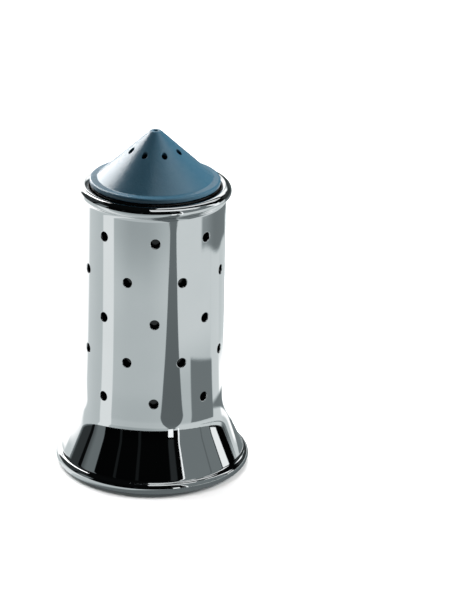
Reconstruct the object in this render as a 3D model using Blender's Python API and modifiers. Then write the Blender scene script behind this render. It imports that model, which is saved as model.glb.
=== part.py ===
"""Table salt shaker: punched steel sleeve, black inner cup, push-fit cone cap.

Metres, +Z up.  Origin: centre of the ring it stands on, at table level.
The shaker's axis is the Z axis; the front faces -Y.
"""
import math

import bmesh
import bpy
from mathutils import Matrix, Vector

MM = 0.001

# ---------------------------------------------------------------- dimensions
SEGMENTS = 48                     # facets round every large turned piece
GAP = 0.3 * MM                    # clearance between pieces that touch

FOOT_DROP = 0.4 * MM              # foot ring stands this far below the steel
LIFT = 2.25 * MM                  # datum of the upper heights, above the table

# sheet steel sleeve
WALL_R = 22.5 * MM                # outside radius of the straight wall
SHEET = 0.8 * MM
LIP_R = 24.2 * MM                 # outside radius of the rolled lip
LIP_Z = 90.05 * MM + LIFT         # height of the lip's widest line
LIP_CROWN = 2.0 * MM              # radius of the roll above that line
LIP_UNDER = 1.4 * MM              # and below it
LIP_IN_R = 20.7 * MM              # mouth of the lip
LIP_IN_EDGE = 0.6 * MM            # rounding of the mouth
LIP_LOW_Z = 88.95 * MM + LIFT     # underside of the roll, inside the wall
COVE_SWEEP = math.radians(60)     # where the roll turns into the cove, below its widest line
BEAD_TUBE = 1.9 * MM              # rolled foot edge
BEAD_R = 29.2 * MM                # radius to the roll's centre
BEAD_Z = BEAD_TUBE + FOOT_DROP
BEAD_MEET = math.radians(82.3)    # where the flare meets the roll
FLARE = math.radians(25)          # flare of the foot from the vertical
FLARE_FILLET = 17.0 * MM

# punched holes
HOLE_R = 1.5 * MM
HOLE_ROWS = 5
HOLES_PER_ROW = 8
HOLE_TOP_Z = 80.1 * MM + LIFT
HOLE_PITCH = 13.5 * MM            # between rows; every other row is half a step round

# inner cup
CUP_R = 20.5 * MM
CUP_WALL = 1.2 * MM
CUP_FLOOR_Z = 9.0 * MM + FOOT_DROP
CUP_FLOOR = 1.5 * MM
CUP_FILLET = 2.0 * MM
COLLAR_LOW_Z = 86.0 * MM + LIFT
NECK_TOP_Z = 92.25 * MM + LIFT
BOSS_R = 3.2 * MM
BOSS_LOW_Z = 4.0 * MM + FOOT_DROP
PILOT_R = 1.5 * MM
PILOT_TOP_Z = 9.3 * MM + FOOT_DROP

# cap
CONE_APEX_Z = 111.2 * MM + LIFT   # where the cone's sides would meet
CONE_RUN = 1.08                        # radius gained per unit of height
TIP_Z = 109.6 * MM + LIFT
TIP_HOLE_R = 0.8 * MM
TIP_FLAT_R = 1.35 * MM
CREASE_R = 18.3 * MM                   # cone meets flange
FLANGE_R = 20.6 * MM
FLANGE_LOW_Z = 92.55 * MM + LIFT
FLANGE_TOP_Z = 94.1 * MM + LIFT
FLANGE_EDGE = 0.8 * MM                 # rounding of its upper edge
SKIRT_R = 18.6 * MM
SKIRT_IN_R = 15.7 * MM
SKIRT_LOW_Z = 85.0 * MM + LIFT
CAP_WALL = 1.6 * MM
POUR_HOLES = 8
POUR_R = 0.9 * MM
POUR_CIRCLE_R = 8.0 * MM
POUR_PHASE = math.radians(-3.0)

# friction ring of the cap
SEAL_TUBE = 0.75 * MM
SEAL_R = 18.25 * MM
SEAL_Z = 89.3 * MM + LIFT
GROOVE_R = 17.2 * MM
GROOVE_H = 2.2 * MM

# base plate, its screws and the foot ring
PLATE_R = 27.0 * MM
PLATE_TOP_R = 26.6 * MM
PLATE_LOW_Z = 0.9 * MM + FOOT_DROP
PLATE_TOP_Z = 3.6 * MM + FOOT_DROP
RING_IN_R = 21.6 * MM
RING_OUT_R = 25.6 * MM
RING_TOP_Z = 1.7 * MM + FOOT_DROP
SCREWS = 3
SCREW_CIRCLE_R = 11.0 * MM
SCREW_R = 1.2 * MM
SCREW_HEAD_R = 2.7 * MM
SCREW_HEAD_LOW_Z = 1.0 * MM + FOOT_DROP
SCREW_HEAD_TOP_Z = 2.0 * MM + FOOT_DROP
SCREW_TIP_Z = 9.0 * MM + FOOT_DROP
COUNTERBORE_R = 3.2 * MM
COUNTERBORE_TOP_Z = 2.3 * MM + FOOT_DROP
SCREW_HOLE_R = 1.6 * MM


# ---------------------------------------------------------------- helpers
def clear_scene():
    for obj in list(bpy.data.objects):
        bpy.data.objects.remove(obj, do_unlink=True)


def new_collection(name):
    coll = bpy.data.collections.new(name)
    bpy.context.scene.collection.children.link(coll)
    return coll


def new_material(name, colour, roughness, metallic):
    mat = bpy.data.materials.new(name)
    mat.use_nodes = True
    bsdf = mat.node_tree.nodes["Principled BSDF"]
    bsdf.inputs["Base Color"].default_value = (*colour, 1.0)
    bsdf.inputs["Roughness"].default_value = roughness
    bsdf.inputs["Metallic"].default_value = metallic
    mat.diffuse_color = (*colour, 1.0)
    return mat


def arc(cr, cz, radius, start, end, steps):
    """Points (r, z) on an arc, both ends included; angles in radians, 0 = outward."""
    return [(cr + radius * math.cos(start + (end - start) * i / steps),
             cz + radius * math.sin(start + (end - start) * i / steps))
            for i in range(steps + 1)]


def turned(name, profile, coll, mat, closed=True, segments=SEGMENTS, origin_z=0.0):
    """A profile (r, z), running down its outer side, turned about Z."""
    mesh = bpy.data.meshes.new(name)
    verts = [(r, 0.0, z - origin_z) for r, z in profile]
    edges = [(i, i + 1) for i in range(len(verts) - 1)]
    if closed:
        edges.append((len(verts) - 1, 0))
    mesh.from_pydata(verts, edges, [])
    obj = bpy.data.objects.new(name, mesh)
    obj.location = (0.0, 0.0, origin_z)
    coll.objects.link(obj)
    screw = obj.modifiers.new("turn", 'SCREW')
    screw.axis = 'Z'
    screw.angle = math.tau
    screw.screw_offset = 0.0
    screw.steps = segments
    screw.render_steps = segments
    screw.use_merge_vertices = True
    screw.merge_threshold = 0.00001
    screw.use_smooth_shade = True
    mesh.materials.append(mat)
    return obj


def cylinder_set(name, items, coll, segments):
    """Cutter or tool made of separate cylinders: (matrix, radius, length) each."""
    bm = bmesh.new()
    for matrix, radius, length in items:
        bmesh.ops.create_cone(bm, cap_ends=True, segments=segments, radius1=radius,
                              radius2=radius, depth=length, matrix=matrix)
    mesh = bpy.data.meshes.new(name)
    bm.to_mesh(mesh)
    bm.free()
    obj = bpy.data.objects.new(name, mesh)
    obj.hide_render = True
    obj.display_type = 'WIRE'
    coll.objects.link(obj)
    return obj


def boolean(obj, tool, operation):
    mod = obj.modifiers.new(tool.name, 'BOOLEAN')
    mod.operation = operation
    mod.solver = 'EXACT'
    mod.object = tool


def upright(r, angle, z_low, z_high):
    """Matrix and length of an upright cylinder at a polar place."""
    place = Vector((r * math.sin(angle), -r * math.cos(angle), 0.5 * (z_low + z_high)))
    return Matrix.Translation(place), z_high - z_low


# ---------------------------------------------------------------- pieces
def build_sleeve(coll, cutters, mat):
    # lip roll: underside and mouth, then over the crown to its widest line
    mouth_r = LIP_IN_R + LIP_IN_EDGE
    crown_r = LIP_R - LIP_CROWN
    side = crown_r - mouth_r
    mouth_z = LIP_Z + math.sqrt((LIP_CROWN - LIP_IN_EDGE) ** 2 - side ** 2)
    turn = math.atan2(mouth_z - LIP_Z, -side)
    outer = [(WALL_R - SHEET, LIP_LOW_Z)]
    outer += arc(mouth_r, LIP_LOW_Z + LIP_IN_EDGE, LIP_IN_EDGE, -math.pi / 2.0, -math.pi, 3)
    outer += arc(mouth_r, mouth_z, LIP_IN_EDGE, math.pi, turn, 2)
    outer += arc(crown_r, LIP_Z, LIP_CROWN, turn, 0.0, 7)[1:]
    # below it a tighter roll that runs into the cove, and the cove into the wall
    outer += arc(LIP_R - LIP_UNDER, LIP_Z, LIP_UNDER, 0.0, -COVE_SWEEP, 3)[1:]
    meet_r, meet_z = outer[-1]
    cove = (meet_r - WALL_R) / (1.0 - math.cos(COVE_SWEEP))
    cove_z = meet_z - cove * math.sin(COVE_SWEEP)
    outer += arc(WALL_R + cove, cove_z, cove, math.pi - COVE_SWEEP, math.pi, 4)[1:]
    # flare of the foot: fillet, then a straight cone down to the roll
    end_r = BEAD_R + BEAD_TUBE * math.cos(BEAD_MEET)
    end_z = BEAD_Z + BEAD_TUBE * math.sin(BEAD_MEET)
    corner_z = end_z + (end_r - WALL_R) / math.tan(FLARE)
    fillet_z = corner_z + FLARE_FILLET * math.tan(FLARE / 2.0)
    outer += arc(WALL_R + FLARE_FILLET, fillet_z, FLARE_FILLET,
                 math.pi, math.pi + FLARE, 4)
    # inside of the sheet: the same fillet grown by the thickness
    inner = arc(WALL_R + FLARE_FILLET, fillet_z, FLARE_FILLET + SHEET,
                math.pi + FLARE, math.pi, 4)
    # foot roll, from the flare outward, under and back to the inside of the flare:
    # the sheet's inner line meets the roll where its distance to the centre is the tube
    normal = (-math.cos(FLARE), -math.sin(FLARE))
    along = (math.sin(FLARE), -math.cos(FLARE))
    base = (end_r + SHEET * normal[0] - BEAD_R, end_z + SHEET * normal[1] - BEAD_Z)
    half = base[0] * along[0] + base[1] * along[1]
    reach = -half - math.sqrt(half * half - (base[0] ** 2 + base[1] ** 2 - BEAD_TUBE ** 2))
    hit = (base[0] + reach * along[0], base[1] + reach * along[1])
    stop = math.atan2(hit[1], hit[0]) - math.tau
    outer += arc(BEAD_R, BEAD_Z, BEAD_TUBE, BEAD_MEET, stop, 11)
    profile = outer + inner
    sleeve = turned("outer_sleeve", profile, coll, mat)
    items = []
    for row in range(HOLE_ROWS):
        z = HOLE_TOP_Z - row * HOLE_PITCH
        for i in range(HOLES_PER_ROW):
            angle = math.tau * (i + 0.5 * (row % 2)) / HOLES_PER_ROW
            out = Vector((math.sin(angle), -math.cos(angle), 0.0))
            turn = out.to_track_quat('Z', 'Y').to_matrix().to_4x4()
            place = Matrix.Translation(out * (WALL_R - SHEET / 2.0) + Vector((0, 0, z)))
            items.append((place @ turn, HOLE_R, 4.0 * SHEET))
    boolean(sleeve, cylinder_set("punch", items, cutters, 12), 'DIFFERENCE')
    return sleeve


def screw_angles():
    return [math.pi + math.tau * i / SCREWS for i in range(SCREWS)]


def build_cup(coll, cutters, mat):
    inside = CUP_R - CUP_WALL
    neck_r = LIP_IN_R - GAP
    collar_r = WALL_R - SHEET - GAP
    collar_top = LIP_LOW_Z - GAP
    floor_top = CUP_FLOOR_Z + CUP_FLOOR
    chamfer = 0.3 * MM
    profile = [(0.0, floor_top)]
    profile += arc(inside - CUP_FILLET, floor_top + CUP_FILLET, CUP_FILLET,
                   -math.pi / 2.0, 0.0, 4)
    profile += [(inside, NECK_TOP_Z - chamfer), (inside + chamfer, NECK_TOP_Z),
                (neck_r - chamfer, NECK_TOP_Z), (neck_r, NECK_TOP_Z - chamfer)]
    # the neck stands in the mouth of the steel lip, the collar stops under its roll
    profile += [(neck_r, collar_top), (collar_r - chamfer, collar_top), (collar_r, collar_top - chamfer)]
    profile += [(collar_r, COLLAR_LOW_Z), (CUP_R, COLLAR_LOW_Z - (collar_r - CUP_R))]
    profile += arc(CUP_R - 1.2 * MM, CUP_FLOOR_Z + 1.2 * MM, 1.2 * MM, 0.0, -math.pi / 2.0, 3)
    profile += [(0.0, CUP_FLOOR_Z)]
    cup = turned("salt_liner", profile, coll, mat, closed=False)
    bosses, pilots = [], []
    for angle in screw_angles():
        place, length = upright(SCREW_CIRCLE_R, angle, BOSS_LOW_Z, CUP_FLOOR_Z + 0.5 * CUP_FLOOR)
        bosses.append((place, BOSS_R, length))
        place, length = upright(SCREW_CIRCLE_R, angle, BOSS_LOW_Z - 2.0 * MM, PILOT_TOP_Z)
        pilots.append((place, PILOT_R, length))
    boolean(cup, cylinder_set("bosses", bosses, cutters, 16), 'UNION')
    boolean(cup, cylinder_set("pilots", pilots, cutters, 12), 'DIFFERENCE')
    return cup


def build_cap(coll, cutters, mat, pivot):
    cone_z = lambda r: CONE_APEX_Z - r / CONE_RUN
    in_drop = CAP_WALL * math.hypot(1.0, CONE_RUN) / CONE_RUN
    # tip: flat top round its hole, rolled over to the cone
    start_r = 2.05 * MM
    profile = [(TIP_HOLE_R, TIP_Z), (TIP_FLAT_R, TIP_Z),
               (0.5 * (TIP_FLAT_R + start_r) + 0.03 * MM, 0.5 * (TIP_Z + cone_z(start_r)) + 0.03 * MM),
               (start_r, cone_z(start_r))]
    profile += [(CREASE_R, cone_z(CREASE_R))]
    # flange, nearly flat on top, with a rounded edge
    profile += arc(FLANGE_R - FLANGE_EDGE, FLANGE_TOP_Z - FLANGE_EDGE, FLANGE_EDGE, math.pi / 2.0, 0.0, 4)
    profile += [(FLANGE_R, FLANGE_LOW_Z + 0.25 * MM), (FLANGE_R - 0.25 * MM, FLANGE_LOW_Z)]
    # plug skirt with the groove of the friction ring
    profile += [(SKIRT_R, FLANGE_LOW_Z),
                (SKIRT_R, SEAL_Z + GROOVE_H / 2.0), (GROOVE_R, SEAL_Z + GROOVE_H / 2.0),
                (GROOVE_R, SEAL_Z - GROOVE_H / 2.0), (SKIRT_R, SEAL_Z - GROOVE_H / 2.0),
                (SKIRT_R, SKIRT_LOW_Z + 0.6 * MM), (SKIRT_R - 0.6 * MM, SKIRT_LOW_Z),
                (SKIRT_IN_R + 0.4 * MM, SKIRT_LOW_Z), (SKIRT_IN_R, SKIRT_LOW_Z + 0.4 * MM),
                (SKIRT_IN_R, cone_z(SKIRT_IN_R) - in_drop),
                (TIP_HOLE_R, cone_z(TIP_HOLE_R) - in_drop)]
    seat = FLANGE_LOW_Z
    cap = turned("cap", profile, coll, mat, origin_z=seat)
    items = []
    for i in range(POUR_HOLES):
        angle = POUR_PHASE + math.tau * (i + 0.5) / POUR_HOLES
        z = cone_z(POUR_CIRCLE_R)
        place, length = upright(POUR_CIRCLE_R, angle, z - 5.0 * MM, z + 3.0 * MM)
        items.append((place, POUR_R, length))
    boolean(cap, cylinder_set("pour_holes", items, cutters, 12), 'DIFFERENCE')
    cap.parent = pivot
    cap.location = (0.0, 0.0, seat - pivot.location.z)
    return cap


def build_seal(coll, mat, pivot):
    ring = turned("cap_seal", arc(SEAL_R, SEAL_Z, SEAL_TUBE, 0.0, -math.tau, 10)[:-1],
                  coll, mat, origin_z=SEAL_Z)
    ring.parent = pivot
    ring.location = (0.0, 0.0, SEAL_Z - pivot.location.z)
    return ring


def build_plate(coll, cutters, mat):
    groove_top = RING_TOP_Z + GAP
    mid_z = 2.6 * MM + FOOT_DROP
    profile = [(0.0, PLATE_TOP_Z), (PLATE_TOP_R, PLATE_TOP_Z), (PLATE_R, mid_z),
               (PLATE_R, PLATE_LOW_Z + 0.3 * MM), (PLATE_R - 0.3 * MM, PLATE_LOW_Z),
               (RING_OUT_R + GAP, PLATE_LOW_Z), (RING_OUT_R + GAP, groove_top),
               (RING_IN_R - GAP, groove_top), (RING_IN_R - GAP, PLATE_LOW_Z),
               (0.0, PLATE_LOW_Z)]
    plate = turned("base_plate", profile, coll, mat, closed=False)
    bores, holes = [], []
    for angle in screw_angles():
        place, length = upright(SCREW_CIRCLE_R, angle, PLATE_LOW_Z - 1.0 * MM, COUNTERBORE_TOP_Z)
        bores.append((place, COUNTERBORE_R, length))
        place, length = upright(SCREW_CIRCLE_R, angle, PLATE_LOW_Z - 2.0 * MM, PLATE_TOP_Z + 1.0 * MM)
        holes.append((place, SCREW_HOLE_R, length))
    boolean(plate, cylinder_set("counterbores", bores, cutters, 20), 'DIFFERENCE')
    boolean(plate, cylinder_set("screw_holes", holes, cutters, 12), 'DIFFERENCE')
    return plate


def build_screws(coll, cutters, mat):
    edge = 0.45 * MM
    profile = [(0.0, SCREW_TIP_Z), (SCREW_R, SCREW_TIP_Z - 0.8 * MM), (SCREW_R, SCREW_HEAD_TOP_Z),
               (SCREW_HEAD_R, SCREW_HEAD_TOP_Z), (SCREW_HEAD_R, SCREW_HEAD_LOW_Z + edge),
               (SCREW_HEAD_R - edge, SCREW_HEAD_LOW_Z), (0.0, SCREW_HEAD_LOW_Z)]
    # a cross recess is cut into each head
    for i, angle in enumerate(screw_angles()):
        place, _ = upright(SCREW_CIRCLE_R, angle, 0.0, 0.0)
        screw = turned("base_screw_%d" % (i + 1), profile, coll, mat, closed=False, segments=20)
        screw.location = place.to_translation()
        for j, size in enumerate(((2.8 * MM, 0.7 * MM), (0.7 * MM, 2.8 * MM))):
            tool = bmesh.new()
            bmesh.ops.create_cube(tool, size=1.0,
                                  matrix=Matrix.Diagonal((size[0], size[1], 1.2 * MM, 1.0)))
            mesh = bpy.data.meshes.new("recess")
            tool.to_mesh(mesh)
            tool.free()
            slot = bpy.data.objects.new("recess_%d_%d" % (i + 1, j + 1), mesh)
            slot.location = place.to_translation() + Vector((0.0, 0.0, SCREW_HEAD_LOW_Z))
            slot.rotation_euler = (0.0, 0.0, math.radians(20.0 + 35.0 * i))
            slot.hide_render = True
            slot.display_type = 'WIRE'
            cutters.objects.link(slot)
            boolean(screw, slot, 'DIFFERENCE')


def build_foot_ring(coll, mat):
    edge = 0.35 * MM
    profile = [(RING_IN_R, RING_TOP_Z), (RING_OUT_R, RING_TOP_Z), (RING_OUT_R, edge),
               (RING_OUT_R - edge, 0.0), (RING_IN_R + edge, 0.0), (RING_IN_R, edge)]
    return turned("foot_ring", profile, coll, mat)


def main():
    clear_scene()
    coll = new_collection("salt_shaker")
    cutters = new_collection("salt_shaker_cutters")
    steel = new_material("polished_steel", (0.62, 0.63, 0.64), 0.06, 1.0)
    black = new_material("black_plastic", (0.012, 0.012, 0.013), 0.18, 0.0)
    blue = new_material("blue_plastic", (0.062, 0.165, 0.245), 0.34, 0.0)
    seal = new_material("seal_rubber", (0.02, 0.02, 0.021), 0.6, 0.0)
    base = new_material("base_plastic", (0.016, 0.016, 0.017), 0.45, 0.0)
    zinc = new_material("screw_steel", (0.55, 0.55, 0.56), 0.3, 1.0)
    soft = new_material("foot_rubber", (0.022, 0.022, 0.023), 0.75, 0.0)

    pivot = bpy.data.objects.new("cap_axis", None)
    pivot.location = (0.0, 0.0, FLANGE_LOW_Z)
    pivot.empty_display_size = 0.02
    coll.objects.link(pivot)

    build_sleeve(coll, cutters, steel)
    build_cup(coll, cutters, black)
    build_cap(coll, cutters, blue, pivot)
    build_seal(coll, seal, pivot)
    build_plate(coll, cutters, base)
    build_screws(coll, cutters, zinc)
    build_foot_ring(coll, soft)
    bpy.context.view_layer.update()


main()
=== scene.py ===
"""Looks of the table salt shaker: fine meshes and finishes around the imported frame."""
import math

import bmesh
import bpy
import numpy as np
from mathutils import Matrix, Vector


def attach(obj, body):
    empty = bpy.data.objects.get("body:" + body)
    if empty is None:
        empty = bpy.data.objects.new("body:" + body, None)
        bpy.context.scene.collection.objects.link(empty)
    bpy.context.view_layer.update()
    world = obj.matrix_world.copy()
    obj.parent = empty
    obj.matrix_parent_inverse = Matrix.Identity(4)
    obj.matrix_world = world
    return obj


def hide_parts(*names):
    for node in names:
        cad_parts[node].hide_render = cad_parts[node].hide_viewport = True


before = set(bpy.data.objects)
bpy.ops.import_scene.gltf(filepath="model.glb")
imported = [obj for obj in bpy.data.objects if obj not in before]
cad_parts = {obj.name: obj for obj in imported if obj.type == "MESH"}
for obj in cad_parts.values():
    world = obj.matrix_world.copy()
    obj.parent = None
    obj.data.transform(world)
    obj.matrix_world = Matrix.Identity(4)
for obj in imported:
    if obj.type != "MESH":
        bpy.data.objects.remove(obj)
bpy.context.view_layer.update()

MM = 0.001
NSEG = 192                      # segments round every large turned surface
TAU = math.tau


# ------------------------------------------------------------------ mesh tools
class Builder:
    """Collects vertices with their normals, and faces."""

    def __init__(self):
        self.co, self.no, self.faces = [], [], []

    def vert(self, co, no):
        self.co.append(co)
        self.no.append(no)
        return len(self.co) - 1

    def ring(self, r, z, nr, nz, phase=0.0):
        out = []
        for i in range(NSEG):
            a = phase + TAU * i / NSEG
            s, c = math.sin(a), -math.cos(a)
            out.append(self.vert((r * s, r * c, z), (nr * s, nr * c, nz)))
        return out

    def rings(self, path, phase=0.0):
        return [self.ring(*p, phase=phase) for p in path]

    def skin(self, rows):
        """Quads between rows that follow a path running down the outer side."""
        for up, low in zip(rows[:-1], rows[1:]):
            n = len(up)
            for i in range(n):
                j = (i + 1) % n
                self.faces.append((up[i], low[i], low[j], up[j]))

    def fan(self, row, centre, flip):
        n = len(row)
        for i in range(n):
            j = (i + 1) % n
            self.faces.append((row[j], row[i], centre) if flip else (row[i], row[j], centre))

    def build(self, name, mat, fix_normals=True):
        mesh = bpy.data.meshes.new(name)
        co = [(x * MM, y * MM, z * MM) for x, y, z in self.co]
        mesh.from_pydata(co, [], self.faces)
        mesh.polygons.foreach_set("use_smooth", [True] * len(mesh.polygons))
        if fix_normals:
            no = np.array(self.no, float)
            no /= np.maximum(np.linalg.norm(no, axis=1, keepdims=True), 1e-12)
            mesh.normals_split_custom_set_from_vertices(no.tolist())
        mesh.update()
        obj = bpy.data.objects.new(name, mesh)
        bpy.context.scene.collection.objects.link(obj)
        mesh.materials.append(mat)
        return obj


def arc(cr, cz, radius, a0, a1, n, hollow=False):
    """Path points (r, z, nr, nz) on an arc, degrees; hollow = the surface faces the centre."""
    out = []
    for i in range(n + 1):
        a = math.radians(a0 + (a1 - a0) * i / n)
        s = -1.0 if hollow else 1.0
        out.append((cr + radius * math.cos(a), cz + radius * math.sin(a),
                    s * math.cos(a), s * math.sin(a)))
    return out


def line(p, q, n=1, ends=(True, True)):
    """Straight path from p to q with its own normal, facing right of the way down."""
    t = Vector((q[0] - p[0], q[1] - p[1])).normalized()
    pts = [(p[0] + (q[0] - p[0]) * i / n, p[1] + (q[1] - p[1]) * i / n, -t.y, t.x)
           for i in range(n + 1)]
    return pts[0 if ends[0] else 1: None if ends[1] else -1]


def bend(p0, p1, p2, n=6):
    """Soft corner: a curve from p0 to p2 pulled to p1, ends left out."""
    out = []
    for i in range(1, n):
        t = i / n
        b = [(1 - t) ** 2 * p0[k] + 2 * t * (1 - t) * p1[k] + t * t * p2[k] for k in (0, 1)]
        d = [2 * (1 - t) * (p1[k] - p0[k]) + 2 * t * (p2[k] - p1[k]) for k in (0, 1)]
        m = math.hypot(*d)
        out.append((b[0], b[1], -d[1] / m, d[0] / m))
    return out


def rounded(points, closed=True):
    """Path through corners (r, z, corner radius), every corner an arc."""
    n = len(points)
    out = []
    for i, (r, z, rad) in enumerate(points):
        if not closed and i in (0, n - 1):
            q = points[1] if i == 0 else points[n - 2]
            t = Vector((q[0] - r, q[1] - z)).normalized() * (1 if i == 0 else -1)
            out.append((r, z, -t.y, t.x))
            continue
        a, b = points[i - 1], points[(i + 1) % n]
        u = Vector((a[0] - r, a[1] - z)).normalized()
        v = Vector((b[0] - r, b[1] - z)).normalized()
        half = 0.5 * u.angle(v)
        cut = rad / math.tan(half)
        p, q = Vector((r, z)) + u * cut, Vector((r, z)) + v * cut
        mid = (u + v).normalized()
        centre = Vector((r, z)) + mid * (rad / math.sin(half))
        n0 = Vector((u.y, -u.x))        # normal of the way in (direction -u)
        n1 = Vector((-v.y, v.x))        # normal of the way out
        turn = n0.angle_signed(n1)
        steps = max(3, int(math.ceil(abs(turn) / math.radians(11))))
        for k in range(steps + 1):
            f = k / steps
            nn = n0.copy()
            nn.rotate(Matrix.Rotation(-turn * f, 2))
            s = 1.0 if (p - centre).dot(n0) > 0 else -1.0
            pos = centre + nn * (s * rad)
            out.append((pos.x, pos.y, nn.x, nn.y))
    return out


# ------------------------------------------------------------------ dimensions (mm)
LIFT = 2.25
FOOT = 0.4
WALL, SHEET = 22.5, 0.8
INNER = WALL - SHEET
LIP_R, LIP_Z = 24.2, 90.05 + LIFT
LIP_CROWN, LIP_UNDER = 2.0, 1.4
LIP_IN, LIP_EDGE, LIP_LOW = 20.7, 0.6, 88.95 + LIFT
COVE_SWEEP = 60.0
BEAD_T, BEAD_R, BEAD_Z = 1.9, 29.2, 1.9 + FOOT
BEAD_MEET = 82.3
FLARE = 25.0
BEND = 10.0                     # length of the gradual bend from wall to flare
HOLE, ROLL = 1.5, 0.26          # punched openings and how far their edge rolls over
ROW_Z = [80.1 + LIFT - 13.5 * k for k in range(5)]
END_R = BEAD_R + BEAD_T * math.cos(math.radians(BEAD_MEET))
END_Z = BEAD_Z + BEAD_T * math.sin(math.radians(BEAD_MEET))


def wall_bend(count, fine=30):
    """Outline from the wall into the flare; the bend grows and fades gradually, as in spun sheet."""
    f, n = math.radians(FLARE), count * fine
    r, z, pts = WALL, 0.0, [(WALL, 0.0, 0.0)]
    for k in range(n):
        t = (k + 0.5) / n
        a = f * t * t * (3 - 2 * t)
        r, z = r + BEND / n * math.sin(a), z - BEND / n * math.cos(a)
        if (k + 1) % fine == 0:
            t = (k + 1) / n
            pts.append((r, z, f * t * t * (3 - 2 * t)))
    drop = END_Z + (END_R - r) / math.tan(f) - z
    return [(r, z + drop, math.cos(a), math.sin(a)) for r, z, a in pts]


BEND_Z = wall_bend(4)[0][1]


# ------------------------------------------------------------------ node tools
class Nodes:
    def __init__(self, tree):
        self.tree = tree
        self.tree.nodes.clear()

    def add(self, kind, **props):
        node = self.tree.nodes.new(kind)
        for k, v in props.items():
            setattr(node, k, v)
        return node

    def link(self, a, b):
        self.tree.links.new(a, b)

    def put(self, socket, value):
        if isinstance(value, bpy.types.NodeSocket):
            self.link(value, socket)
        else:
            socket.default_value = value

    def math(self, op, a, b=None, c=None):
        node = self.add("ShaderNodeMath", operation=op)
        for s, v in zip(node.inputs, (a, b, c)):
            if v is not None:
                self.put(s, v)
        return node.outputs[0]

    def step(self, value, low, high, a=0.0, b=1.0, smooth=True):
        node = self.add("ShaderNodeMapRange",
                        interpolation_type='SMOOTHSTEP' if smooth else 'LINEAR')
        node.clamp = True
        self.put(node.inputs["Value"], value)
        self.put(node.inputs["From Min"], low)
        self.put(node.inputs["From Max"], high)
        self.put(node.inputs["To Min"], a)
        self.put(node.inputs["To Max"], b)
        return node.outputs[0]

    def mix(self, mask, a, b):
        node = self.add("ShaderNodeMix", data_type='FLOAT')
        self.put(node.inputs[0], mask)
        self.put(node.inputs[2], a)
        self.put(node.inputs[3], b)
        return node.outputs[0]

    def mix_colour(self, mask, a, b):
        node = self.add("ShaderNodeMix", data_type='RGBA')
        self.put(node.inputs[0], mask)
        self.put(node.inputs[6], a)
        self.put(node.inputs[7], b)
        return node.outputs[2]

    def band(self, value, low, high, soft):
        up = self.step(value, low - soft, low + soft) if not isinstance(low, bpy.types.NodeSocket) else \
            self.step(self.math('SUBTRACT', value, low), -soft, soft)
        down = self.step(value, high - soft, high + soft, 1.0, 0.0) if not isinstance(high, bpy.types.NodeSocket) else \
            self.step(self.math('SUBTRACT', value, high), -soft, soft, 1.0, 0.0)
        return self.math('MULTIPLY', up, down)

    def noise(self, vector, scale, detail=2.0, rough=0.5, distortion=0.0):
        node = self.add("ShaderNodeTexNoise")
        self.put(node.inputs["Vector"], vector)
        node.inputs["Scale"].default_value = scale
        node.inputs["Detail"].default_value = detail
        node.inputs["Roughness"].default_value = rough
        node.inputs["Distortion"].default_value = distortion
        return node.outputs["Fac"]

    def mapping(self, vector, scale=(1, 1, 1), location=(0, 0, 0)):
        node = self.add("ShaderNodeMapping")
        self.put(node.inputs["Vector"], vector)
        node.inputs["Scale"].default_value = scale
        node.inputs["Location"].default_value = location
        return node.outputs[0]

    def ramp(self, fac, stops):
        node = self.add("ShaderNodeValToRGB")
        e = node.color_ramp.elements
        while len(e) < len(stops):
            e.new(0.5)
        for el, (pos, col) in zip(e, stops):
            el.position = pos
            el.color = (*col, 1.0)
        self.put(node.inputs[0], fac)
        return node.outputs[0]


def material(name):
    mat = bpy.data.materials.new(name)
    mat.use_nodes = True
    n = Nodes(mat.node_tree)
    out = n.add("ShaderNodeOutputMaterial")
    bsdf = n.add("ShaderNodeBsdfPrincipled")
    n.link(bsdf.outputs[0], out.inputs[0])
    return mat, n, bsdf


def bumped(n, bsdf, height, strength, distance):
    node = n.add("ShaderNodeBump")
    node.inputs["Strength"].default_value = strength
    node.inputs["Distance"].default_value = distance
    n.put(node.inputs["Height"], height)
    n.link(node.outputs[0], bsdf.inputs["Normal"])


def turned_coords(n):
    """Object coordinates as (angle, radius, height) so marks run round the axis."""
    tc = n.add("ShaderNodeTexCoord")
    sep = n.add("ShaderNodeSeparateXYZ")
    n.link(tc.outputs["Object"], sep.inputs[0])
    ang = n.math('ARCTAN2', sep.outputs[0], n.math('MULTIPLY', sep.outputs[1], -1.0))
    rad = n.math('SQRT', n.math('ADD', n.math('MULTIPLY', sep.outputs[0], sep.outputs[0]),
                                n.math('MULTIPLY', sep.outputs[1], sep.outputs[1])))
    comb = n.add("ShaderNodeCombineXYZ")
    n.link(ang, comb.inputs[0])
    n.link(rad, comb.inputs[1])
    n.link(sep.outputs[2], comb.inputs[2])
    return tc.outputs["Object"], comb.outputs[0]


# ------------------------------------------------------------------ finishes
def steel_finish():
    mat, n, b = material("polished_steel")
    obj, pol = turned_coords(n)
    # polishing lines run round the axis, with cloudy patches where it was buffed more
    lines = n.noise(n.mapping(pol, (0.6, 9000.0, 9000.0)), 1.0, 3.0, 0.6)
    cloud = n.noise(obj, 90.0, 3.0, 0.55)
    tone = n.mix_colour(cloud, (0.655, 0.665, 0.67, 1.0), (0.70, 0.705, 0.71, 1.0))
    n.link(tone, b.inputs["Base Color"])
    rough = n.math('ADD', n.step(cloud, 0.35, 0.7, 0.018, 0.034),
                   n.step(lines, 0.45, 0.8, 0.0, 0.03))
    n.link(rough, b.inputs["Roughness"])
    b.inputs["Metallic"].default_value = 1.0
    bumped(n, b, n.math('ADD', n.math('MULTIPLY', lines, 0.15), n.noise(obj, 60.0, 1.0)), 0.02, 0.0004)
    return mat


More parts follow.
